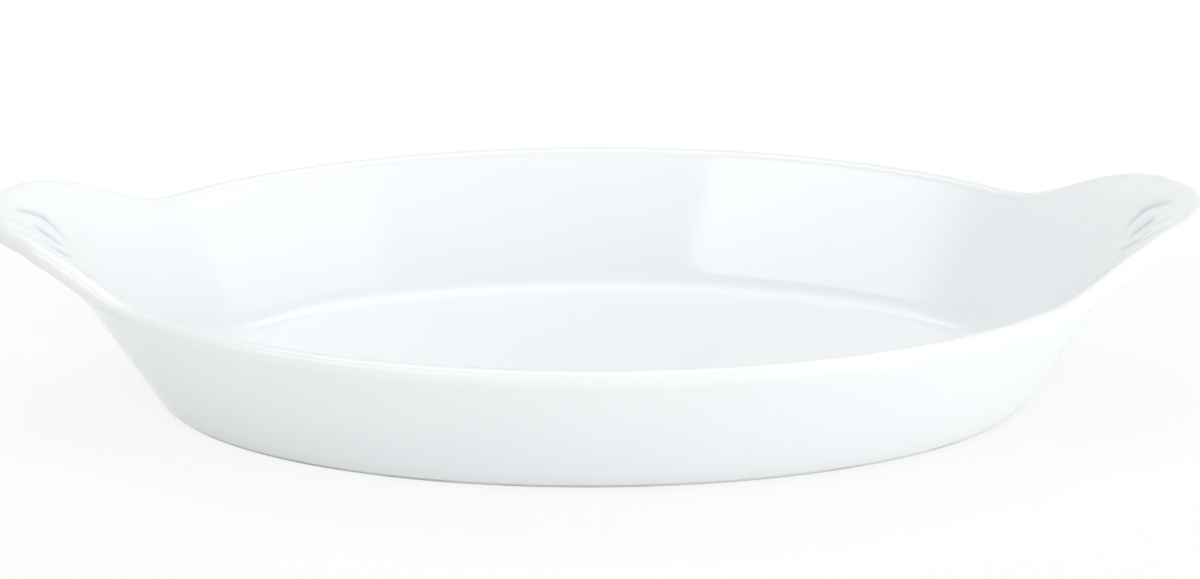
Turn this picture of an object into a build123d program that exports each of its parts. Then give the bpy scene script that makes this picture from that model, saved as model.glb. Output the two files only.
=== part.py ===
from build123d import *
import math
import os

os.makedirs("parts", exist_ok=True)

# An oval gratin dish of white glazed ware, with a fluted ear at each end.
# X runs along the dish, Y across it and Z up. The origin is on the table, under the middle.
# All lengths are in millimetres, and all angles are in degrees.

# The rim's oval, measured on the middle of the rim's thickness, and its height off the table.
rim_half_length = 118.0
rim_half_width = 75.1
rim_height = 34.6

# The wall leans out from foot to rim by this much, all the way round.
wall_lean = 17.4
wall_thickness = 4.4
rim_round_share = 0.98

# The floor of the inside, and the roundings at its edge and at the outer edge of the base.
floor_level = 4.0
floor_corner_radius = 9.0
base_corner_radius = 0.8

# The bare ring that the dish stands on, set in from the edge of the base.
foot_height = 1.0
foot_width = 4.5
foot_setback = 1.2
foot_corner_radius = 0.3

# The glassy coat. Every face of the fired clay lies this far inside the finished surface.
glaze_thickness = 0.3

# An ear grows out of the rim between two upright planes that meet at its fan point,
# which lies inside the dish. It swells smoothly from the plain rim to its full reach.
ear_reach = 20.0
ear_rise = 12.1
ear_root_drop = 7.0
ear_tip_slope = 13.5
ear_fan_setback = 40.0
ear_fan_half_angle = 66.0
ear_swell_power = 2.9
ear_rise_power = 2.0

# The middle of an ear is hollowed like a spoon, on its upper face and its underside alike.
ear_hollow_depth = 1.2
ear_hollow_half_angle = 33.0

# Flutes run down the upper face of each ear towards the inside, and scallop its lip.
# The number of flutes is odd, and each has sections on its groove and on the ridges beside it.
flute_count = 3
flute_pitch_angle = 11.0
flute_depth = 0.8
scallop_count = 5
scallop_depth = 0.5

# How far a guide point stands off to make a quarter of a circle, as a share of its radius.
quarter_pull_share = 0.5523

# Six guide points that make the same curve as four, as shares of the four, and how much of a
# shift of one of the middle two shows in the curve.
six_guide_shares = (
    (1, 0, 0, 0),
    (0.4, 0.6, 0, 0),
    (0.1, 0.6, 0.3, 0),
    (0, 0.3, 0.6, 0.1),
    (0, 0, 0.6, 0.4),
    (0, 0, 0, 1),
)
middle_guide_share = 0.3456

# How far a cutting shape runs past what it cuts.
overrun = 5.0

half_wall = wall_thickness / 2
bead_height = rim_height - half_wall
# A wall between two ovals is thinnest off their axes, where it keeps this share of its thickness.
thin_wall_share = 2 * math.sqrt(rim_half_length * rim_half_width) / (rim_half_length + rim_half_width)


def wall_angle():
    """Lean of the wall from upright, in radians, for an outer face that runs from base to rim."""
    lean = math.atan2(wall_lean, bead_height)
    for _ in range(20):
        lean = math.atan2(wall_lean + half_wall * math.cos(lean), bead_height - half_wall * math.sin(lean))
    return lean


lean_angle = wall_angle()
seat_level = rim_height - ear_root_drop


def outer_offset(level, skin):
    """How far the wall's outer face stands outside the rim's middle line, at a height."""
    return level * math.tan(lean_angle) - wall_lean - skin / math.cos(lean_angle)


def inner_offset(level, skin):
    """How far the wall's inner face stands outside the rim's middle line, at a height."""
    return outer_offset(level, skin) - (wall_thickness - 2 * skin) / math.cos(lean_angle)


def oval(offset, level):
    """An oval at a height, an offset outside the rim's middle line."""
    return Pos(0, 0, level) * Ellipse(rim_half_length + offset, rim_half_width + offset)


def flared_block(offset_at, skin, low, high, corner_radius):
    """A solid oval block with a leaning side and a rounded lower edge."""
    block = loft([oval(offset_at(low, skin), low), oval(offset_at(high, skin), high)], ruled=True)
    return fillet(block.edges().group_by(Axis.Z)[0], corner_radius)


def bowl(skin):
    """Floor, wall and rounded rim, with every face moved in by the skin."""
    top = rim_height - skin
    outside = flared_block(outer_offset, skin, foot_height + skin, top, base_corner_radius - skin)
    inside = flared_block(inner_offset, skin, floor_level - skin, top + overrun, floor_corner_radius + skin)
    shell = outside - inside
    rim_radius = (half_wall - skin) * thin_wall_share * rim_round_share
    return fillet(shell.edges().group_by(Axis.Z)[-1], rim_radius)


def upright_ring(offset, width, low, high):
    """An upright oval ring of a width, inside an offset from the rim's middle line."""
    outline = Ellipse(rim_half_length + offset, rim_half_width + offset)
    hole = Ellipse(rim_half_length + offset - width, rim_half_width + offset - width)
    return Pos(0, 0, low) * extrude(outline - hole, high - low)


def foot():
    """The foot ring, with its standing edges eased."""
    offset = outer_offset(foot_height, 0) - foot_setback
    ring = upright_ring(offset, foot_width, 0, foot_height + glaze_thickness)
    return fillet(ring.edges().group_by(Axis.Z)[0], foot_corner_radius)


def fan_radius(angle, offset):
    """Distance from an ear's fan point to the oval at an offset, in a direction from the long axis."""
    a = rim_half_length + offset
    b = rim_half_width + offset
    start = rim_half_length - ear_fan_setback
    square = (math.cos(angle) / a) ** 2 + (math.sin(angle) / b) ** 2
    half_linear = start * math.cos(angle) / a**2
    rest = (start / a) ** 2 - 1
    return (math.sqrt(half_linear**2 - square * rest) - half_linear) / square


def fan_point(angle, place):
    """A point in an ear's section, from its offset outside the rim's middle line and its height."""
    offset, level = place
    radius = fan_radius(angle, offset)
    along = rim_half_length - ear_fan_setback + radius * math.cos(angle)
    return (along, radius * math.sin(angle), level)


def ahead(place, slope, distance):
    """A place moved by a distance in the direction of a slope."""
    return (place[0] + distance * math.cos(slope), place[1] + distance * math.sin(slope))


def groove_share(angle, count):
    """Depth of a row of grooves in one direction: 1 in a groove, 0 on a ridge and past the row."""
    pitch = math.radians(flute_pitch_angle)
    if abs(angle) >= count * pitch / 2:
        return 0
    return (1 + math.cos(2 * math.pi * angle / pitch)) / 2


def hollow_share(angle):
    """Depth of an ear's hollow in one direction: 1 in the middle, 0 past its edge."""
    edge = math.radians(ear_hollow_half_angle)
    if abs(angle) >= edge:
        return 0
    return (1 + math.cos(math.pi * angle / edge)) / 2


def six_guides(guides):
    """The six guide points of the curve that four make. The middle two bend it without a kink."""
    return [
        tuple(sum(share * guide[axis] for share, guide in zip(shares, guides)) for axis in (0, 1))
        for shares in six_guide_shares
    ]


def quarter_circle(start, slope, radius):
    """Guide points of a quarter circle that sets out along a slope and turns down to the right."""
    centre = ahead(start, slope - math.pi / 2, radius)
    end = ahead(centre, slope, radius)
    pull = radius * quarter_pull_share
    return (start, ahead(start, slope, pull), ahead(end, slope + math.pi / 2, pull), end)


def ear_outline(angle, skin):
    """The open outline of one section through an ear: upper face, round lip and underside."""
    half = half_wall - skin
    quarter = math.pi / 2
    swell = math.cos(angle / math.radians(ear_fan_half_angle) * quarter) ** ear_swell_power
    reach = ear_reach * swell - scallop_depth * groove_share(angle, scallop_count)
    level = bead_height + ear_rise * (1 - (1 - swell) ** ear_rise_power)
    wall_slope = quarter - lean_angle
    slope = wall_slope + (math.radians(ear_tip_slope) - wall_slope) * swell
    lip_start = ahead((reach, level), slope + quarter, half)
    upper_lip = quarter_circle(lip_start, slope, half)
    under_lip = quarter_circle(upper_lip[-1], slope - quarter, half)
    seat_in = (inner_offset(seat_level, skin), seat_level)
    seat_out = (outer_offset(seat_level, skin), seat_level)
    upper_pull = math.dist(seat_in, lip_start) / 3
    under_pull = math.dist(seat_out, under_lip[-1]) / 3
    rising = ahead(seat_in, wall_slope, upper_pull)
    upper = six_guides((seat_in, rising, ahead(lip_start, slope, -upper_pull), lip_start))
    falling = ahead(under_lip[-1], slope, -under_pull)
    under = six_guides((under_lip[-1], falling, ahead(seat_out, wall_slope, under_pull), seat_out))
    hollow = ear_hollow_depth * hollow_share(angle)
    sink = hollow + flute_depth * groove_share(angle, flute_count)
    upper[3] = ahead(upper[3], slope - quarter, sink / middle_guide_share)
    under[2] = ahead(under[2], slope - quarter, hollow / middle_guide_share)
    curves = (upper, upper_lip, under_lip, under)
    return [Bezier(*[fan_point(angle, place) for place in guides]) for guides in curves]


def ear_angles():
    """Directions of an ear's sections: two for each flute's pitch, from plain rim to plain rim."""
    steps = round(4 * ear_fan_half_angle / flute_pitch_angle)
    return [math.radians(ear_fan_half_angle) * (2 * i / steps - 1) for i in range(steps + 1)]


def ear(skin):
    """An ear at the right end, lofted through its fan of sections, with its faces in by the skin."""
    sections = []
    for angle in ear_angles():
        outline = ear_outline(angle, skin)
        seat = Line(outline[-1] @ 1, outline[0] @ 0)
        sections.append(Face(Wire([*outline, seat])))
    return loft(sections)


def ear_room():
    """The room that an ear at the right end takes in the bowl's rim."""
    start = rim_half_length - ear_fan_setback
    side = 2 * rim_half_width
    out = side / math.tan(math.radians(ear_fan_half_angle))
    far = start + out + rim_half_length
    corners = [(start, 0), (start + out, -side), (far, -side), (far, side), (start + out, side), (start, 0)]
    return Pos(0, 0, seat_level) * extrude(make_face(Polyline(*corners)), ear_root_drop + overrun)


def at_left(shape):
    """The same shape at the left end."""
    return mirror(shape, Plane.YZ)


ear_rooms = ear_room() + at_left(ear_room())
foot_room = upright_ring(
    outer_offset(foot_height, 0) - foot_setback, foot_width, 0, foot_height + glaze_thickness
)


def clay_bowl():
    """The fired bowl, with a seat for each ear."""
    return bowl(glaze_thickness) - ear_rooms


def glaze_coat():
    """The glassy coat: what lies between the finished surface and the clay, clear of the foot."""
    bowl_coat = bowl(0) - bowl(glaze_thickness) - ear_rooms - foot_room
    ear_coat = ear(0) - ear(glaze_thickness)
    coats = [bowl_coat, ear_coat, at_left(ear_coat)]
    return Compound(children=[solid for coat in coats for solid in coat.solids()])


export_step(clay_bowl(), "parts/dish_bowl.step")
export_step(ear(glaze_thickness), "parts/right_ear.step")
export_step(at_left(ear(glaze_thickness)), "parts/left_ear.step")
export_step(foot(), "parts/foot_ring.step")
export_step(glaze_coat(), "parts/glaze_coat.step")
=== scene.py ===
"""An oval gratin dish of white glazed ware: its glaze, its bare clay, its foot and its stage.

The packed dish gives the bodies and the frame, and this file gives the finished surfaces.
All lengths are in metres. X runs along the dish, Y across it and Z up.
"""

import math

import bpy
from mathutils import Matrix, Vector


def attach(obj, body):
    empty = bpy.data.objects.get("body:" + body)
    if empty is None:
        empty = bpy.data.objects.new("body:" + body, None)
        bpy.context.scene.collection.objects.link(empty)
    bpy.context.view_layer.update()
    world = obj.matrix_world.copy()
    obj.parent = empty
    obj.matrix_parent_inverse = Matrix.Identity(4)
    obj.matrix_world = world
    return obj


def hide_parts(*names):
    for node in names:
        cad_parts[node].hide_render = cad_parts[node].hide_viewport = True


bl_info = {
    "name": "Gratin dish",
    "version": (1, 0, 0),
    "blender": (4, 5, 0),
    "location": "3D View > Sidebar > Dish",
    "description": "Glazed surface, bare clay and studio for an oval gratin dish",
    "category": "Object",
}

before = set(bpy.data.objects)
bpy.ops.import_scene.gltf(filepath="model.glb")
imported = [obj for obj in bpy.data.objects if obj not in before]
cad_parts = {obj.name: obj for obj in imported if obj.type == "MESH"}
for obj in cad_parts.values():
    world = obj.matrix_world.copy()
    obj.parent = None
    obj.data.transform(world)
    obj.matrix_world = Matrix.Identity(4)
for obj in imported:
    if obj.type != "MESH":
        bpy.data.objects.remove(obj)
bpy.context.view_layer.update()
MM = 0.001
QUARTER_TURN = math.pi / 2
# Width of the camera's film in millimetres.
FILM_WIDTH = 36


# Sizes, colours and light that a user would change


def length(name, description, default):
    """A property for a length in metres."""
    return bpy.props.FloatProperty(
        name=name,
        description=description,
        default=default,
        precision=5,
        unit="LENGTH",
        subtype="DISTANCE",
    )


def turn(name, description, degrees):
    """A property for an angle, given here in degrees."""
    return bpy.props.FloatProperty(
        name=name,
        description=description,
        default=math.radians(degrees),
        unit="ROTATION",
        subtype="ANGLE",
    )


def share(name, description, default):
    """A property for a plain number, such as a share or a power."""
    return bpy.props.FloatProperty(
        name=name, description=description, default=default, precision=3
    )


def colour(name, description, default):
    """A property for a colour."""
    return bpy.props.FloatVectorProperty(
        name=name,
        description=description,
        default=default,
        size=3,
        min=0,
        max=1,
        subtype="COLOR",
    )


class BowlSizes(bpy.types.PropertyGroup):
    """The oval bowl. Its rim is measured on the middle of its thickness."""

    rim_half_length: length("Rim half length", "Middle of the dish to its end's rim", 118.0 * MM)
    rim_half_width: length("Rim half width", "Middle of the dish to its side's rim", 75.1 * MM)
    rim_height: length("Rim height", "Height of the plain rim off the table", 34.6 * MM)
    wall_lean: length("Wall lean", "How far the wall leans out from base to rim", 17.4 * MM)
    wall_thickness: length("Wall thickness", "Thickness of the glazed wall", 4.4 * MM)
    floor_level: length("Floor level", "Height of the inside floor off the table", 4.0 * MM)
    floor_corner: length("Floor corner", "Radius of the rounding between floor and wall", 9.0 * MM)
    base_corner: length("Base corner", "Radius of the rounding between wall and base", 0.8 * MM)
    foot_height: length("Foot height", "Height of the base above the table", 1.0 * MM)


class EarSizes(bpy.types.PropertyGroup):
    """The two ears, which swell out of the rim in a fan of upright sections."""

    reach: length("Reach", "How far an ear stands out from the rim", 20.0 * MM)
    rise: length("Rise", "How far an ear's tip stands above the rim", 12.1 * MM)
    root_drop: length("Root drop", "How far under the rim an ear starts to part from it", 7.0 * MM)
    tip_slope: turn("Tip slope", "Climb of the upper face at the tip", 13.5)
    fan_setback: length("Fan setback", "How far inside the rim the sections meet", 40.0 * MM)
    fan_half_angle: turn("Fan half angle", "From an ear's middle to where it has run out", 66.0)
    swell_power: share("Swell power", "How quickly an ear swells towards its middle", 2.9)
    rise_power: share("Rise power", "How soon an ear reaches its full height", 2.0)
    hollow_depth: length("Hollow depth", "Depth of the hollow in the upper face", 0.75 * MM)
    underside_depth: length("Underside depth", "Bulge of the underside under the hollow", 1.2 * MM)
    hollow_half_angle: turn("Hollow half angle", "From an ear's middle to its hollow's edge", 33.0)
    scallop_pitch: turn("Scallop pitch", "Angle from one notch in the lip to the next", 11.0)
    scallop_depth: length("Scallop depth", "Depth of the notches in the lip", 0.5 * MM)
    flute_depth: length("Flute depth", "Depth of the soft flutes", 0.25 * MM)
    flute_half_angle: turn("Flute half angle", "Half the opening of a flute in the fan", 4.5)
    crease_depth: length("Crease depth", "Depth of the sharp crease in each flute", 0.37 * MM)
    crease_half_angle: turn("Crease half angle", "Half the opening of a crease in the fan", 1.8)


class GlazeLook(bpy.types.PropertyGroup):
    """The white glassy glaze."""

    plain: colour("Plain glaze", "Glaze of usual thickness", (0.884, 0.912, 0.924))
    # The outer colour is painted shade: a greener, slightly darker copy of the plain glaze for the
    # outside, which faces down.
    outer: colour("Outer glaze", "Slightly greener glaze of the outside", (0.856, 0.902, 0.906))
    # The pooled colour is partly thick glaze and partly painted shade: it darkens the corners,
    # creases and hollows where shade falls.
    pooled: colour("Pooled glaze", "Thick glaze in the corners and creases", (0.56, 0.61, 0.63))
    thin: colour("Thin glaze", "Glaze drawn thin over the rim", (0.846, 0.860, 0.860))
    pinhole: colour("Pinhole", "Grey of the tiny pinholes", (0.52, 0.50, 0.45))
    roughness: share("Roughness", "Roughness of the glassy surface", 0.08)
    ripple: length("Ripple", "Height of the slow ripple left by brushing and firing", 0.05 * MM)
    pinhole_spacing: length("Pinhole spacing", "Spacing of the tiny pinholes", 7.0 * MM)
    pinhole_depth: length("Pinhole depth", "Depth of the tiny pinholes", 0.02 * MM)


class ClayLook(bpy.types.PropertyGroup):
    """The fired clay, bare on the foot and covered elsewhere."""

    body: colour("Clay", "Fired clay", (0.80, 0.785, 0.75))
    fleck: colour("Fleck", "Darker grains in the clay", (0.58, 0.55, 0.50))
    worn: colour("Worn", "Clay rubbed grey where it stands", (0.67, 0.66, 0.63))
    grain: length("Grain", "Size of the clay's grain", 0.5 * MM)
    grain_height: length("Grain height", "Height of the clay's grain", 0.06 * MM)
    fleck_spacing: length("Fleck spacing", "Spacing of the darker grains", 2.6 * MM)
    fleck_depth: length("Fleck depth", "How far the darker grains lie in", 0.03 * MM)


class StudioLook(bpy.types.PropertyGroup):
    """Camera, lamps and ground."""

    camera_turn: turn("Camera turn", "Turn of the camera to the left of the dish's front", 2.246)
    camera_height: turn("Camera height", "Angle of the camera above the table", 20.5)
    camera_roll: turn("Camera roll", "Roll of the camera about its own axis", 0.372)
    camera_distance: length("Camera distance", "Camera to the point it looks at", 746.0 * MM)
    camera_aim: bpy.props.FloatVectorProperty(
        name="Camera aim",
        description="The point that the camera looks at",
        default=(0.643 * MM, 0, 24.591 * MM),
        subtype="TRANSLATION",
        unit="LENGTH",
    )
    focal_length: share("Focal length", f"In millimetres, on {FILM_WIDTH} mm wide film", 96.918)
    ground: colour("Ground", "Pale floor", (0.92, 0.92, 0.92))
    shadow_share: share("Shadow share", "How much of the floor's shadow the camera sees", 0.2)
    room_light: share("Room light", "Brightness of the plain room", 0.56)
    front_light: share("Front light", "How much brighter the plain room is at the front", 0.15)
    left_light: share("Left light", "Brightness of the soft box at the left", 2.3)
    right_light: share("Right light", "Brightness of the soft box at the right", 0.86)
    low_light: share("Low light", "Brightness of the low wide panel at the right", 3.1)
    top_light: share("Top light", "Brightness of the soft box above and behind the dish", 1.75)


# Node trees


# How the nodes of a tree are laid out: the rows of a column, and the room for one node.
LAYOUT_ROWS = 14
LAYOUT_WIDTH = 200
LAYOUT_HEIGHT = 170


class Number:
    """A number on a node's socket, so that sums on sockets are written as sums."""

    def __init__(self, tree, socket):
        self.tree = tree
        self.socket = socket

    def math(self, operation, *others):
        values = dict(enumerate((self,) + others))
        return self.tree.number("ShaderNodeMath", {"operation": operation}, values)

    def __add__(self, other):
        return self.math("ADD", other)

    def __sub__(self, other):
        return self.math("SUBTRACT", other)

    def __mul__(self, other):
        return self.math("MULTIPLY", other)

    def __truediv__(self, other):
        return self.math("DIVIDE", other)

    def __pow__(self, other):
        return self.math("POWER", other)

    def __neg__(self):
        return self * -1

    def __rsub__(self, other):
        return -self + other

    __radd__ = __add__
    __rmul__ = __mul__

    def least(self, other):
        return self.math("MINIMUM", other)

    def most(self, other):
        return self.math("MAXIMUM", other)

    def root(self):
        return self.math("SQRT")

    def sine(self):
        return self.math("SINE")

    def cosine(self):
        return self.math("COSINE")

    def tangent(self):
        return self.math("TANGENT")

    def size(self):
        return self.math("ABSOLUTE")

    def sign(self):
        return self.math("SIGN")

    def ramp(self, low, high):
        """A smooth climb from 0 at low to 1 at high."""
        settings = {"interpolation_type": "SMOOTHSTEP"}
        values = {"Value": self, "From Min": low, "From Max": high}
        return self.tree.number("ShaderNodeMapRange", settings, values, "Result")


def as_socket(value):
    """The socket of a number, and any other value as it is."""
    return value.socket if isinstance(value, Number) else value


class Tree:
    """A node tree, emptied, and the one way in which nodes are added to it."""

    def __init__(self, tree):
        self.tree = tree
        tree.nodes.clear()

    def node(self, kind, settings=None, values=None):
        """Adds a node: its settings first, then values or links by socket name or place."""
        made = self.tree.nodes.new(kind)
        column, row = divmod(len(self.tree.nodes) - 1, LAYOUT_ROWS)
        made.location = (column * LAYOUT_WIDTH, -row * LAYOUT_HEIGHT)
        for name, setting in (settings or {}).items():
            setattr(made, name, setting)
        for name, value in (values or {}).items():
            value = as_socket(value)
            if isinstance(value, bpy.types.NodeSocket):
                self.tree.links.new(value, made.inputs[name])
            else:
                made.inputs[name].default_value = value
        return made

    def number(self, kind, settings=None, values=None, output=0):
        """Adds a node and gives one of its outputs as a number."""
        return Number(self, self.node(kind, settings, values).outputs[output])

    def parts(self, vector):
        """The node that takes a vector apart into X, Y and Z."""
        return self.node("ShaderNodeSeparateXYZ", None, {0: vector})

    def mix(self, factor, first, second):
        """A colour between two colours, from the sockets that a Mix node keeps for colours."""
        settings = {"data_type": "RGBA", "clamp_factor": True}
        made = self.node("ShaderNodeMix", settings, {0: factor, 6: first, 7: second})
        return made.outputs[2]


# The glazed surface, built by rule: bands of a section, placed round the oval


class Form(Tree):
    """A geometry tree with named inputs."""

    def __init__(self, name, inputs):
        super().__init__(bpy.data.node_groups.new(name, "GeometryNodeTree"))
        self.sockets = {}
        for label, kind in inputs.items():
            self.sockets[label] = self.tree.interface.new_socket(
                label, in_out="INPUT", socket_type=kind
            )
        self.entry = self.node("NodeGroupInput")

    def __getitem__(self, label):
        return Number(self, self.entry.outputs[label])

    def joined(self, pieces):
        """The output of a node that joins the first outputs of others."""
        join = self.node("GeometryNodeJoinGeometry")
        for piece in pieces:
            self.tree.links.new(piece.outputs[0], join.inputs[0])
        return join.outputs[0]

    def give(self, label, kind, value):
        """Ends the tree with a named output."""
        self.tree.interface.new_socket(label, in_out="OUTPUT", socket_type=kind)
        self.node("NodeGroupOutput", None, {label: value})


def input_name(key):
    """The name of the tree's input that takes a property."""
    return key.replace("_", " ").title()


PLACE_INPUTS = (
    "Rim Half Length",
    "Rim Half Width",
    "Start",
    "Direction",
    "Offset",
    "Level",
    "Share",
)


def oval_place():
    """Tree that gives the point of a section from its offset outside the rim's middle line.

    A section is an upright plane that stands in a direction from a start on the long axis. The
    point lies at a share of the way from there to the oval.
    """
    form = Form("Place In Section", dict.fromkeys(PLACE_INPUTS, "NodeSocketFloat"))
    half_length = form["Rim Half Length"] + form["Offset"]
    half_width = form["Rim Half Width"] + form["Offset"]
    start = form["Start"]
    along = form["Direction"].cosine()
    across = form["Direction"].sine()
    # The distance to the oval is the outer root of a quadratic with these three terms.
    square = (along / half_length) ** 2 + (across / half_width) ** 2
    half_linear = start * along / (half_length * half_length)
    rest = (start / half_length) ** 2 - 1
    distance = ((half_linear * half_linear - square * rest).root() - half_linear) / square
    reach = distance * form["Share"]
    values = {"X": start + reach * along, "Y": reach * across, "Z": form["Level"]}
    place = form.node("ShaderNodeCombineXYZ", None, values).outputs[0]
    form.give("Place", "NodeSocketVector", place)
    return form.tree


def ahead(place, slope, distance):
    """A place in a section moved by a distance along a slope."""
    return (place[0] + distance * slope.cosine(), place[1] + distance * slope.sine())


def between(first, second, step):
    """A place part of the way from one place to another."""
    return tuple(a + (b - a) * step for a, b in zip(first, second))


def guides(seat, lip, wall_slope, lip_slope):
    """Four guide places of an ear's face, each slope held for a third of the way across."""
    pull = ((lip[0] - seat[0]) ** 2 + (lip[1] - seat[1]) ** 2).root() / 3
    return (seat, ahead(seat, wall_slope, pull), ahead(lip, lip_slope, -pull), lip)


def curve(guide_places, step, sink, slope):
    """A place on the curve that four guide places shape, sunk square to a slope."""
    rest = 1 - step
    weights = (rest**3, rest * rest * step * 3, step * step * rest * 3, step**3)
    place = tuple(sum(g[axis] * w for g, w in zip(guide_places, weights)) for axis in (0, 1))
    return ahead(place, slope - QUARTER_TURN, sink)


def through(marks):
    """The three weights of the curve value + step * (rise + step * bend) through three marks."""
    (s0, v0), (s1, v1), (s2, v2) = marks
    first = (v1 - v0) / (s1 - s0)
    bend = ((v2 - v1) / (s2 - s1) - first) / (s2 - s0)
    rise = first - bend * (s0 + s1)
    return v0 - s0 * (rise + s0 * bend), rise, bend


# Rows of faces in each band of the section, from the middle of the floor round to the base.
ROWS = {
    "floor": 5,
    "floor corner": 11,
    "inner wall": 7,
    "upper face": 30,
    "lip": 16,
    "underside": 20,
    "outer wall": 8,
    "base corner": 6,
    "base": 4,
}
# Columns of faces in a half of the dish, and the share of them that lies in the ear.
HALF_COLUMNS = 440
EAR_COLUMNS_SHARE = 0.66
# How much closer the ear's columns stand at its middle than at its ends.
EAR_CROWDING = 0.6
# Points of neighbouring bands that are nearer than this become one.
SEAM_DISTANCE = 0.002 * MM

SCALLOP_COUNT = 5
# Where a sunk curve is deepest, and the depth there of the plain rule step ** 3 * (1 - step) ** 2.
DEEPEST_STEP = 0.6
DEEPEST_RULE = DEEPEST_STEP**3 * (1 - DEEPEST_STEP) ** 2
# Each flute with its crease: three marks that it runs through, as step along the upper face and
# direction in degrees from the ear's middle, then the steps between which it comes and goes.
FLUTES = (
    (((0.52, 4.3), (0.645, 6.05), (0.82, 2.0)), (0.36, 0.60), (0.79, 0.87)),
    (((0.47, -4.65), (0.56, -3.45), (0.655, -2.7)), (0.41, 0.53), (0.63, 0.72)),
    (((0.37, -10.3), (0.525, -12.7), (0.64, -13.2)), (0.33, 0.46), (0.57, 0.68)),
)
# How steeply a crease's sides fall towards its bottom.
CREASE_POWER = 1.5

# Shares of thick glaze and painted shade in the floor's corner, in a crease and its flute, and in
# the hollow: the darker colour there stands partly for glaze that pools and partly for shade.
CORNER_POOL_AND_SHADE = 0.03
CREASE_POOL_AND_SHADE = 0.62
FLUTE_POOL_AND_SHADE = 0.18
HOLLOW_POOL_AND_SHADE = 0.1
# Shares of thin glaze at the lip's sides, on top of that at its crest, and at the base's edge.
LIP_THIN = 0.75
CREST_THIN = 0.25
BASE_THIN = 0.6


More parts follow.
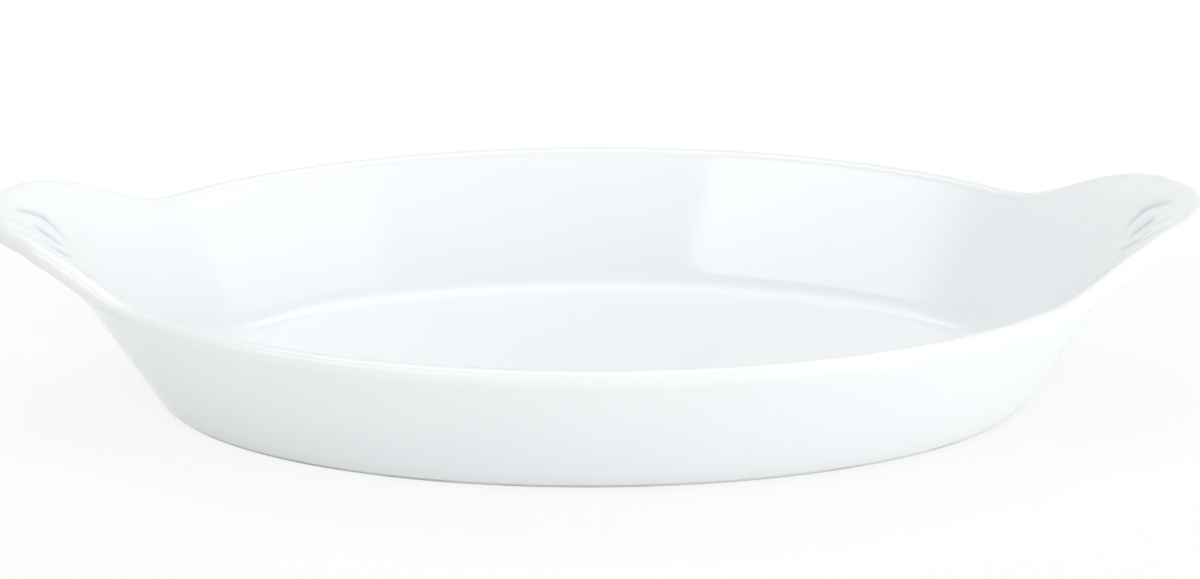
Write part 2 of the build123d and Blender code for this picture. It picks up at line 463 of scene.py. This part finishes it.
class DishForm(Form):
    """Tree that builds the whole glazed surface of the dish as one closed skin.

    Each band of the section is a flat grid, which is bent round the right half of the dish. Its
    step goes from 0 at the band's start to 1 at its end.
    """

    def __init__(self):
        keys = (*BowlSizes.__annotations__, *EarSizes.__annotations__)
        labels = ("Wall Angle", *(input_name(key) for key in keys))
        inputs = dict.fromkeys(labels, "NodeSocketFloat")
        super().__init__("Oval Eared Dish", {**inputs, "Glaze": "NodeSocketMaterial"})
        self.place_tree = oval_place()
        grid = self.parts(self.node("GeometryNodeInputPosition").outputs[0])
        # A grid lies about the origin, 2 long and 1 wide.
        column = Number(self, grid.outputs["X"])
        self.step = Number(self, grid.outputs["Y"]) + 0.5

        # Direction of each column, from the ear's middle to the middle of a long side, either way.
        away = column.size()
        in_ear = (away / EAR_COLUMNS_SHARE).least(1)
        in_side = ((away - EAR_COLUMNS_SHARE) / (1 - EAR_COLUMNS_SHARE)).most(0)
        spread = in_ear * (1 - EAR_CROWDING) + in_ear * in_ear * EAR_CROWDING
        fan = self["Fan Half Angle"]
        self.turned = fan * spread + (QUARTER_TURN - fan) * in_side
        self.direction = self.turned * column.sign()
        self.start = (self["Rim Half Length"] - self["Fan Setback"]) * (1 - in_side)

        # How far the ear has swelled, and how deep its hollow, flutes and creases are, as shares.
        self.swell = (spread * QUARTER_TURN).cosine().most(0) ** self["Swell Power"]
        across = self.wave(self["Hollow Half Angle"] * 2, 1)
        self.hollow = across * (self.step**3 * (1 - self.step) ** 2 / DEEPEST_RULE)
        self.bulge = across * ((1 - self.step) ** 3 * self.step**2 / DEEPEST_RULE)
        self.soft, self.sharp = self.flutes()
        self.close(self.bands(), self.glaze_layers())

    def wave(self, period, periods):
        """1 in the middle and after each period, 0 half way between them and past the last."""
        turns = (self.turned / period).least(periods / 2)
        return (1 + (turns * (2 * math.pi)).cosine()) / 2

    def flutes(self):
        """The soft flutes and their sharp creases, each of which wanders across the fan."""
        step = self.step
        soft = 0
        sharp = 0
        for marks, rising, falling in FLUTES:
            value, rise, bend = through([(s, math.radians(v)) for s, v in marks])
            beside = (self.direction - (step * (step * bend + rise) + value)).size()
            along = step.ramp(*rising) * (1 - step.ramp(*falling))
            crease = (1 - beside / self["Crease Half Angle"]).most(0) ** CREASE_POWER
            soft = soft + (1 - beside / self["Flute Half Angle"]).ramp(0, 1) * along
            sharp = sharp + crease * along
        return soft, sharp

    def outer_offset(self, level):
        """How far the wall's outer face stands outside the rim's middle line, at a level."""
        return level * self["Wall Angle"].tangent() - self["Wall Lean"]

    def inner_offset(self, level):
        """How far the wall's inner face stands outside the rim's middle line, at a level."""
        return self.outer_offset(level) - self["Wall Thickness"] / self["Wall Angle"].cosine()

    def rounding_centre(self, offset_at, lowest, radius):
        """Centre of the rounding between a face of the wall and a level face under it."""
        level = lowest + radius
        return (offset_at(level) - radius / self["Wall Angle"].cosine(), level)

    def bands(self):
        """Each band's places, as offset outside the rim's middle line and height."""
        step = self.step
        half = self["Wall Thickness"] / 2
        lean = self["Wall Angle"]
        wall_slope = QUARTER_TURN - lean

        # The faces of an ear leave the wall at its seat and meet in a round lip about the bead.
        seat_level = self["Rim Height"] - self["Root Drop"]
        seat_in = (self.inner_offset(seat_level), seat_level)
        seat_out = (self.outer_offset(seat_level), seat_level)
        slope = wall_slope + (self["Tip Slope"] - wall_slope) * self.swell
        notches = self.wave(self["Scallop Pitch"], SCALLOP_COUNT)
        risen = 1 - (1 - self.swell) ** self["Rise Power"]
        bead = (
            self["Reach"] * self.swell - self["Scallop Depth"] * notches,
            self["Rim Height"] - half + self["Rise"] * risen,
        )
        upper_end = ahead(bead, slope + QUARTER_TURN, half)
        under_start = ahead(bead, slope - QUARTER_TURN, half)
        upper_guides = guides(seat_in, upper_end, wall_slope, slope)
        under_guides = guides(seat_out, under_start, wall_slope, slope)[::-1]
        upper_sink = (
            self["Hollow Depth"] * self.hollow
            + self["Flute Depth"] * self.soft
            + self["Crease Depth"] * self.sharp
        )
        under_sink = self["Underside Depth"] * self.bulge

        floor = self["Floor Level"]
        floor_radius = self["Floor Corner"]
        floor_centre = self.rounding_centre(self.inner_offset, floor, floor_radius)
        base = self["Foot Height"]
        base_radius = self["Base Corner"]
        base_centre = self.rounding_centre(self.outer_offset, base, base_radius)
        inner_start = ahead(floor_centre, -lean, floor_radius)
        outer_end = ahead(base_centre, -lean, base_radius)
        return {
            "floor": (floor_centre[0], floor),
            "floor corner": ahead(floor_centre, wall_slope * step - QUARTER_TURN, floor_radius),
            "inner wall": between(inner_start, seat_in, step),
            "upper face": curve(upper_guides, step, upper_sink, slope),
            "lip": ahead(bead, slope + QUARTER_TURN - step * math.pi, half),
            "underside": curve(under_guides, step, under_sink, slope),
            "outer wall": between(seat_out, outer_end, step),
            "base corner": ahead(base_centre, -lean - wall_slope * step, base_radius),
            "base": (base_centre[0], base),
        }

    def glaze_layers(self):
        """Shares of the layers in the bands that have any: thick glaze with painted shade, thin
        glaze, and the outside's greener glaze, which is painted shade.

        The darker colour of thick glaze paints shade into the floor's corner, the creases and the
        hollow, and glaze draws thin over the lip and the base's edge. A ramp's two numbers are
        steps in its band.
        """
        step = self.step
        # Painted shade with thick glaze: the creases and flutes darken as if they lay in shade.
        creases = self.sharp * CREASE_POOL_AND_SHADE + self.soft * FLUTE_POOL_AND_SHADE
        pooled = {
            "floor": step.ramp(0.7, 1) * CORNER_POOL_AND_SHADE,
            "floor corner": (1 - step.ramp(0.2, 1)) * CORNER_POOL_AND_SHADE,
            "upper face": creases + self.bulge * HOLLOW_POOL_AND_SHADE,
        }
        thin = {
            "upper face": step.ramp(0.86, 1) * LIP_THIN,
            "lip": LIP_THIN + (step * math.pi).sine() * CREST_THIN,
            "underside": (1 - step.ramp(0, 0.12)) * LIP_THIN,
            "outer wall": step.ramp(0.9, 1) * BASE_THIN,
            "base corner": BASE_THIN,
        }
        # Where the greener outer glaze, painted shade for the downward-facing outside, takes over.
        outside = {"underside": step.ramp(0, 0.3), "outer wall": 1, "base corner": 1, "base": 1}
        return {"pooled": pooled, "thin": thin, "outside": outside}

    def sheet(self, band, place, reach, layers):
        """A flat grid that carries the layers of glaze, bent to a band of the section."""
        size = {"Size X": 2, "Size Y": 1}
        points = {"Vertices X": HALF_COLUMNS + 1, "Vertices Y": ROWS[band] + 1}
        mesh = self.node("GeometryNodeMeshGrid", None, {**size, **points}).outputs["Mesh"]
        for name, shares in layers.items():
            values = {"Geometry": mesh, "Name": name, "Value": shares.get(band, 0)}
            mesh = self.node("GeometryNodeStoreNamedAttribute", None, values).outputs["Geometry"]
        rims = (self["Rim Half Length"], self["Rim Half Width"])
        values = dict(zip(PLACE_INPUTS, (*rims, self.start, self.direction, *place, reach)))
        spot = self.node("GeometryNodeGroup", {"node_tree": self.place_tree}, values).outputs[0]
        return self.node("GeometryNodeSetPosition", None, {"Geometry": mesh, "Position": spot})

    def close(self, bands, layers):
        """Joins the bands, mirrors the half and closes the skin."""
        # The floor and the base run in to the long axis, and the other bands stay on the oval.
        reaches = {"floor": self.step, "base": 1 - self.step}
        sheets = [
            self.sheet(band, place, reaches.get(band, 1), layers) for band, place in bands.items()
        ]
        half = self.joined(sheets)
        # The grids face into the clay. The mirror turns the left half over, and the right half is
        # flipped.
        right = self.node("GeometryNodeFlipFaces", None, {"Mesh": half})
        left = self.node("GeometryNodeTransform", None, {"Geometry": half, "Scale": (-1, 1, 1)})
        skin = self.joined([right, left])
        finishing = (
            ("GeometryNodeMergeByDistance", {"Distance": SEAM_DISTANCE}),
            ("GeometryNodeSetShadeSmooth", {}),
            ("GeometryNodeRealizeInstances", {}),
            ("GeometryNodeSetMaterial", {"Material": self.entry.outputs["Glaze"]}),
        )
        for kind, values in finishing:
            skin = self.node(kind, None, {"Geometry": skin, **values}).outputs[0]
        self.give("Geometry", "NodeSocketGeometry", skin)


# Rounds in which the wall's lean settles, as it and the rim's rounding depend on each other.
LEAN_ROUNDS = 20


def wall_angle(sizes):
    """Lean of the wall from upright, for an outer face that runs from base to rim."""
    half = sizes.wall_thickness / 2
    bead_height = sizes.rim_height - half
    lean = math.atan2(sizes.wall_lean, bead_height)
    for _ in range(LEAN_ROUNDS):
        run = sizes.wall_lean + half * math.cos(lean)
        lean = math.atan2(run, bead_height - half * math.sin(lean))
    return lean


def placed(name, data):
    """A new object in the scene."""
    made = bpy.data.objects.new(name, data)
    bpy.context.scene.collection.objects.link(made)
    return made


def built(name, form, values):
    """A plain mesh made by a form's tree, with each named input set."""
    empty = bpy.data.meshes.new(name)
    piece = placed(name, empty)
    modifier = piece.modifiers.new(name, "NODES")
    modifier.node_group = form.tree
    for label, value in values.items():
        modifier[form.sockets[label].identifier] = value
    ready = piece.evaluated_get(bpy.context.evaluated_depsgraph_get())
    mesh = bpy.data.meshes.new_from_object(ready)
    piece.modifiers.remove(modifier)
    piece.data = mesh
    bpy.data.meshes.remove(empty)
    mesh.name = name
    return piece


# Finishes


class Finish(Tree):
    """A material's tree, with its surface shader and the coordinates that patterns read."""

    def __init__(self, name, **constants):
        self.material = bpy.data.materials.new(name)
        self.material.use_nodes = True
        super().__init__(self.material.node_tree)
        self.surface = self.node("ShaderNodeBsdfPrincipled", None, constants)
        self.node("ShaderNodeOutputMaterial", None, {"Surface": self.surface.outputs[0]})
        self.place = self.node("ShaderNodeTexCoord").outputs["Object"]

    def noise(self, spacing, detail, roughness=0.5):
        """Cloudy noise of a spacing in metres, from 0 to 1."""
        values = {"Vector": self.place, "Scale": 1 / spacing}
        values.update({"Detail": detail, "Roughness": roughness})
        return self.number("ShaderNodeTexNoise", None, values)

    def spots(self, spacing, inner, outer):
        """Scattered spots: 1 within the inner radius and 0 past the outer, in spacings."""
        values = {"Vector": self.place, "Scale": 1 / spacing}
        return 1 - self.number("ShaderNodeTexVoronoi", None, values).ramp(inner, outer)

    def layer(self, name):
        """A number that the piece carries on its surface."""
        return self.number("ShaderNodeAttribute", {"attribute_name": name}, None, "Fac")

    def feed(self, socket, value):
        """Gives a surface socket something that varies."""
        self.tree.links.new(as_socket(value), self.surface.inputs[socket])

    def relief(self, height):
        """Raises the surface by a height in metres."""
        values = {"Height": height, "Distance": 1.0, "Strength": 1.0}
        self.feed("Normal", self.node("ShaderNodeBump", None, values).outputs[0])


def opaque(shade):
    """A property's colour as a socket takes it."""
    return (*shade, 1)


def about_one(noise, spread):
    """A factor that follows a noise and stays within half a spread of 1."""
    return 1 - spread / 2 + noise * spread


# Noise in the glaze, as spacing, detail and roughness: how its thickness drifts, its clouds, its
# fine scuffs, and the long and short waves of its ripple.
DRIFT = (38 * MM, 3.0)
CLOUDS = (9 * MM, 2.0)
SCUFFS = (2.2 * MM, 4.0, 0.6)
LONG_WAVES = (14 * MM, 1.0)
SHORT_WAVES = (4.5 * MM, 1.0)
# Height of the short waves against the long ones.
SHORT_WAVE_SHARE = 0.16
# How widely the noise varies the layers and the roughness.
POOL_SPREAD = 0.5
THIN_SPREAD = 0.6
ROUGHNESS_SPREAD = 0.4
# How much of the darker colour of thick glaze and painted shade the drift brings in, and how much
# of their own colours thin glaze and pinholes show.
DRIFT_POOL = 0.12
THIN_TINT = 0.6
PINHOLE_TINT = 0.12
# Radii between which a pinhole's edge lies, in spacings, and the noise at which scuffs come in.
PINHOLE_RADII = (0.02, 0.05)
SCUFF_RANGE = (0.6, 0.85)
# Roughness that scuffs and pinholes add.
SCUFF_ROUGHNESS = 0.03
PINHOLE_ROUGHNESS = 0.2


def white_glaze(look):
    """Glossy white glaze with a ripple, greyer where it pools or is thin, greener outside.

    The grey of its pools in corners, creases and the hollow is partly painted shade, and its
    greener outside is painted shade.
    """
    finish = Finish("White glaze", IOR=1.5)
    drift = finish.noise(*DRIFT)
    clouds = finish.noise(*CLOUDS)
    pooled = finish.layer("pooled") * about_one(clouds, POOL_SPREAD)
    thin = (finish.layer("thin") * about_one(drift, THIN_SPREAD)).least(1)
    holes = finish.spots(look.pinhole_spacing, *PINHOLE_RADII)
    slight = (drift - 0.5).size() * DRIFT_POOL
    # Painted shade: the outside takes the greener outer colour.
    shade = finish.mix(finish.layer("outside"), opaque(look.plain), opaque(look.outer))
    # Pools take the darker colour, which is thick glaze and painted shade in the recesses.
    shade = finish.mix(slight + pooled, shade, opaque(look.pooled))
    shade = finish.mix(thin * THIN_TINT, shade, opaque(look.thin))
    shade = finish.mix(holes * PINHOLE_TINT, shade, opaque(look.pinhole))
    finish.feed("Base Color", shade)
    plain = look.roughness * about_one(clouds, ROUGHNESS_SPREAD)
    scuffs = finish.noise(*SCUFFS).ramp(*SCUFF_RANGE)
    finish.feed("Roughness", plain + scuffs * SCUFF_ROUGHNESS + holes * PINHOLE_ROUGHNESS)
    waves = finish.noise(*LONG_WAVES) + finish.noise(*SHORT_WAVES) * SHORT_WAVE_SHARE
    finish.relief(waves * look.ripple - holes * look.pinhole_depth)
    return finish.material


# Noise in the clay: detail and roughness of its grain, and spacing and detail of its patches.
GRAIN = (5.0, 0.65)
PATCHES = (16 * MM, 3.0)
# Radii between which a fleck's edge lies, in spacings, and the noise at which rubbed patches and
# coarse grains come in.
FLECK_RADII = (0.06, 0.15)
PATCH_RANGE = (0.42, 0.62)
COARSE_RANGE = (0.62, 0.78)
# How much the grain breaks up a patch, and how much of a fleck's colour shows.
GRAIN_IN_PATCH = 0.4
FLECK_TINT = 0.6
COARSE_TINT = 0.25
# Roughness of the clay, with what the grain adds and rubbing takes away.
CLAY_ROUGHNESS = 0.74
GRAIN_ROUGHNESS = 0.2
RUBBED_SMOOTHNESS = 0.12
# How worn the clay is under the glaze, and where the dish stands.
COVERED_WEAR = 0.15
STANDING_WEAR = 0.8


def bare_clay(name, look, wear):
    """Dry fired clay with a fine grain, rubbed grey where it stands on things."""
    finish = Finish(name, IOR=1.45)
    grain = finish.noise(look.grain, *GRAIN)
    patches = finish.noise(*PATCHES).ramp(*PATCH_RANGE)
    flecks = finish.spots(look.fleck_spacing, *FLECK_RADII)
    rubbed = (patches * wear + (grain - 0.5) * GRAIN_IN_PATCH).most(0)
    coarse = grain.ramp(*COARSE_RANGE)
    shade = finish.mix(rubbed, opaque(look.body), opaque(look.worn))
    shade = finish.mix(flecks * FLECK_TINT + coarse * COARSE_TINT, shade, opaque(look.fleck))
    finish.feed("Base Color", shade)
    roughness = CLAY_ROUGHNESS + grain * GRAIN_ROUGHNESS - rubbed * RUBBED_SMOOTHNESS
    finish.feed("Roughness", roughness)
    finish.relief(grain * look.grain_height - flecks * look.fleck_depth)
    return finish.material


# Pieces


class DISH_OT_glaze(bpy.types.Operator):
    """Build the glazed surface of the bowl and its ears"""

    bl_idname = "dish.glaze"
    bl_label = "Glazed surface"

    def execute(self, context):
        scene = context.scene
        values = {
            "Wall Angle": wall_angle(scene.dish_bowl),
            "Glaze": white_glaze(scene.dish_glaze),
        }
        for group, sizes in ((BowlSizes, scene.dish_bowl), (EarSizes, scene.dish_ear)):
            for key in group.__annotations__:
                values[input_name(key)] = getattr(sizes, key)
        skin = built("glazed_skin", DishForm(), values)
        if not skin.data.polygons:
            raise RuntimeError("the glazed surface came out empty")
        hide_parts("glaze_coat")
        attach(skin, "root")
        return {"FINISHED"}


class DISH_OT_clay(bpy.types.Operator):
    """Give the clay under the glaze and the bare foot their finish"""

    bl_idname = "dish.clay"
    bl_label = "Fired clay and foot"

    def execute(self, context):
        look = context.scene.dish_clay
        covered = bare_clay("Fired clay", look, COVERED_WEAR)
        finishes = dict.fromkeys(("dish_bowl", "left_ear", "right_ear"), covered)
        finishes["foot_ring"] = bare_clay("Bare foot", look, STANDING_WEAR)
        for node, material in finishes.items():
            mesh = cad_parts[node].data
            mesh.materials.clear()
            mesh.materials.append(material)
        return {"FINISHED"}


# The stage


WHITE = (1, 1, 1, 1)
# Half the side of the floor, and the distances from the middle between which the shadow on it
# fades out, in sizes of the rim.
FLOOR_REACH = 6.0
SHADOW_RANGE = (1.15, 2.3)
# Half the width of the soft edge where a soft box's corner is cut off.
CUT_SOFTNESS = 0.05
# Nearest distance that the camera sees.
NEAREST_SEEN = 0.01


def outward(turned, height):
    """Direction out from the dish, turned to the right of its front and raised by a height."""
    level = math.cos(height)
    return Vector((math.sin(turned) * level, -math.cos(turned) * level, math.sin(height)))


def soft_box(name, brightness, turned, height, rolled, distance, size, fading=0, cut=None):
    """A soft box that faces the dish, with its turn, its height and its roll in degrees.

    It may dim to nothing at its left as the dish sees it, over the fading share of its width.
    Its upper right corner is then cut off slantwise, by two shares of its width and height.
    """
    lamp = bpy.data.lights.new(name, "AREA")
    lamp.shape = "RECTANGLE"
    lamp.size, lamp.size_y = size
    # A brightness of 1 is seen as white in a mirror.
    lamp.energy = brightness * math.pi * size[0] * size[1]
    if fading:
        lamp.use_nodes = True
        tree = Tree(lamp.node_tree)
        spot = tree.parts(tree.node("ShaderNodeNewGeometry").outputs["Parametric"])
        across = Number(tree, spot.outputs["X"])
        up = Number(tree, spot.outputs["Y"])
        past_cut = (across - 1) / cut[0] + (up - 1) / cut[1] + 1
        strength = across.ramp(0, fading) * (1 - past_cut.ramp(-CUT_SOFTNESS, CUT_SOFTNESS))
        glow = tree.node("ShaderNodeEmission", None, {"Strength": strength}).outputs[0]
        tree.node("ShaderNodeOutputLight", None, {"Surface": glow})
    out = outward(math.radians(turned), math.radians(height))
    facing = (-out).to_track_quat("-Z", "Y").to_matrix()
    roll = Matrix.Rotation(math.radians(rolled), 3, "Z")
    placed(name, lamp).matrix_world = Matrix.Translation(out * distance) @ (facing @ roll).to_4x4()


def seen_white(tree):
    """1 where the camera, a reflection or a clear body looks, 0 for light on the object."""
    path = tree.node("ShaderNodeLightPath")
    seen = Number(tree, path.outputs["Is Camera Ray"])
    for name in ("Is Glossy Ray", "Is Transmission Ray"):
        seen = seen.most(Number(tree, path.outputs[name]))
    return seen


class DISH_OT_stage(bpy.types.Operator):
    """Set up the pale floor, the room, the lamps and the camera"""

    bl_idname = "dish.stage"
    bl_label = "Stage and camera"

    def execute(self, context):
        look = context.scene.dish_studio
        self.lay_floor(context.scene.dish_bowl, look)
        self.fill_room(context.scene, look)
        self.hang_lamps(look)
        self.set_camera(context.scene, look)
        context.scene.view_settings.view_transform = "Standard"
        return {"FINISHED"}

    def lay_floor(self, bowl, look):
        """A wide pale floor that shows white and keeps some of the object's shadow."""
        mesh = bpy.data.meshes.new("floor")
        signs = ((-1, -1), (1, -1), (1, 1), (-1, 1))
        corners = [(x * FLOOR_REACH, y * FLOOR_REACH, 0) for x, y in signs]
        mesh.from_pydata(corners, [], [(0, 1, 2, 3)])
        material = bpy.data.materials.new("Pale floor")
        material.use_nodes = True
        tree = Tree(material.node_tree)
        cloth = tree.node("ShaderNodeBsdfDiffuse", None, {"Color": opaque(look.ground)})
        white = tree.node("ShaderNodeEmission", None, {"Color": WHITE, "Strength": 1.0})
        rims = (1 / bowl.rim_half_length, 1 / bowl.rim_half_width, 0)
        spot = tree.node("ShaderNodeTexCoord").outputs["Object"]
        scaled = tree.node("ShaderNodeVectorMath", {"operation": "MULTIPLY"}, {0: spot, 1: rims})
        values = {0: scaled.outputs[0]}
        away = tree.number("ShaderNodeVectorMath", {"operation": "LENGTH"}, values, "Value")
        shadow = look.shadow_share * (1 - away.ramp(*SHADOW_RANGE))
        factor = seen_white(tree) * (1 - shadow)
        values = {0: factor, 1: cloth.outputs[0], 2: white.outputs[0]}
        both = tree.node("ShaderNodeMixShader", None, values).outputs[0]
        tree.node("ShaderNodeOutputMaterial", None, {"Surface": both})
        mesh.materials.append(material)
        floor = placed("floor", mesh)

    def fill_room(self, scene, look):
        """A plain room that lights the object, a little more from the front, and shows white."""
        room = bpy.data.worlds.new("Plain room")
        room.use_nodes = True
        tree = Tree(room.node_tree)
        direction = tree.parts(tree.node("ShaderNodeTexCoord").outputs["Generated"])
        front = (-Number(tree, direction.outputs["Y"])).most(0)
        level = look.room_light + front * look.front_light
        level = level + seen_white(tree) * (1 - level)
        back = tree.node("ShaderNodeBackground", None, {"Color": WHITE, "Strength": level})
        tree.node("ShaderNodeOutputWorld", None, {"Surface": back.outputs[0]})
        scene.world = room

    def hang_lamps(self, look):
        """Two soft boxes that the inner wall reflects, a low panel, and a soft box overhead."""
        soft_box(
            "Left soft box",
            look.left_light,
            turned=-49.5,
            height=43.5,
            rolled=12,
            distance=1.1,
            size=(1.2, 0.27),
            fading=0.4,
            cut=(0.18, 0.5),
        )
        soft_box(
            "Right soft box",
            look.right_light,
            turned=65,
            height=38,
            rolled=-10,
            distance=1.1,
            size=(0.81, 0.4),
        )
        soft_box(
            "Low panel",
            look.low_light,
            turned=50,
            height=7,
            rolled=0,
            distance=1.2,
            size=(1.3, 0.5),
        )
        soft_box(
            "Top soft box",
            look.top_light,
            turned=180,
            height=74,
            rolled=0,
            distance=1.2,
            size=(1.0, 0.7),
        )

    def set_camera(self, scene, look):
        """The camera at the photograph's viewing angle."""
        turned = -look.camera_turn
        back = outward(turned, look.camera_height)
        right = Vector((math.cos(turned), math.sin(turned), 0))
        axes = Matrix((right, back.cross(right), back)).transposed()
        roll = Matrix.Rotation(look.camera_roll, 3, "Z")
        place = Matrix.Translation(Vector(look.camera_aim) + back * look.camera_distance)
        camera = placed("Camera", bpy.data.cameras.new("Camera"))
        camera.matrix_world = place @ (axes @ roll).to_4x4()
        camera.data.sensor_width = FILM_WIDTH
        camera.data.sensor_fit = "HORIZONTAL"
        camera.data.lens = look.focal_length
        camera.data.clip_start = NEAREST_SEEN
        scene.camera = camera


class DISH_PT_panel(bpy.types.Panel):
    """Pieces of the dish, and the sizes and colours behind them"""

    bl_idname = "DISH_PT_panel"
    bl_label = "Gratin dish"
    bl_space_type = "VIEW_3D"
    bl_region_type = "UI"
    bl_category = "Dish"

    def draw(self, context):
        for piece in PIECES:
            self.layout.operator(piece.bl_idname)
        for name, group in GROUPS.items():
            box = self.layout.box()
            box.label(text=group.__doc__)
            for key in group.__annotations__:
                box.prop(getattr(context.scene, name), key)


GROUPS = {
    "dish_bowl": BowlSizes,
    "dish_ear": EarSizes,
    "dish_glaze": GlazeLook,
    "dish_clay": ClayLook,
    "dish_studio": StudioLook,
}
PIECES = (DISH_OT_glaze, DISH_OT_clay, DISH_OT_stage)


def register():
    for group in GROUPS.values():
        bpy.utils.register_class(group)
    for name, group in GROUPS.items():
        setattr(bpy.types.Scene, name, bpy.props.PointerProperty(type=group))
    for kind in (*PIECES, DISH_PT_panel):
        bpy.utils.register_class(kind)


def unregister():
    for kind in (DISH_PT_panel, *reversed(PIECES)):
        bpy.utils.unregister_class(kind)
    for name, group in GROUPS.items():
        delattr(bpy.types.Scene, name)
        bpy.utils.unregister_class(group)


def main():
    """Builds every piece and the stage."""
    register()
    bpy.ops.dish.glaze()
    bpy.ops.dish.clay()
    bpy.ops.dish.stage()


if __name__ == "__main__":
    main()
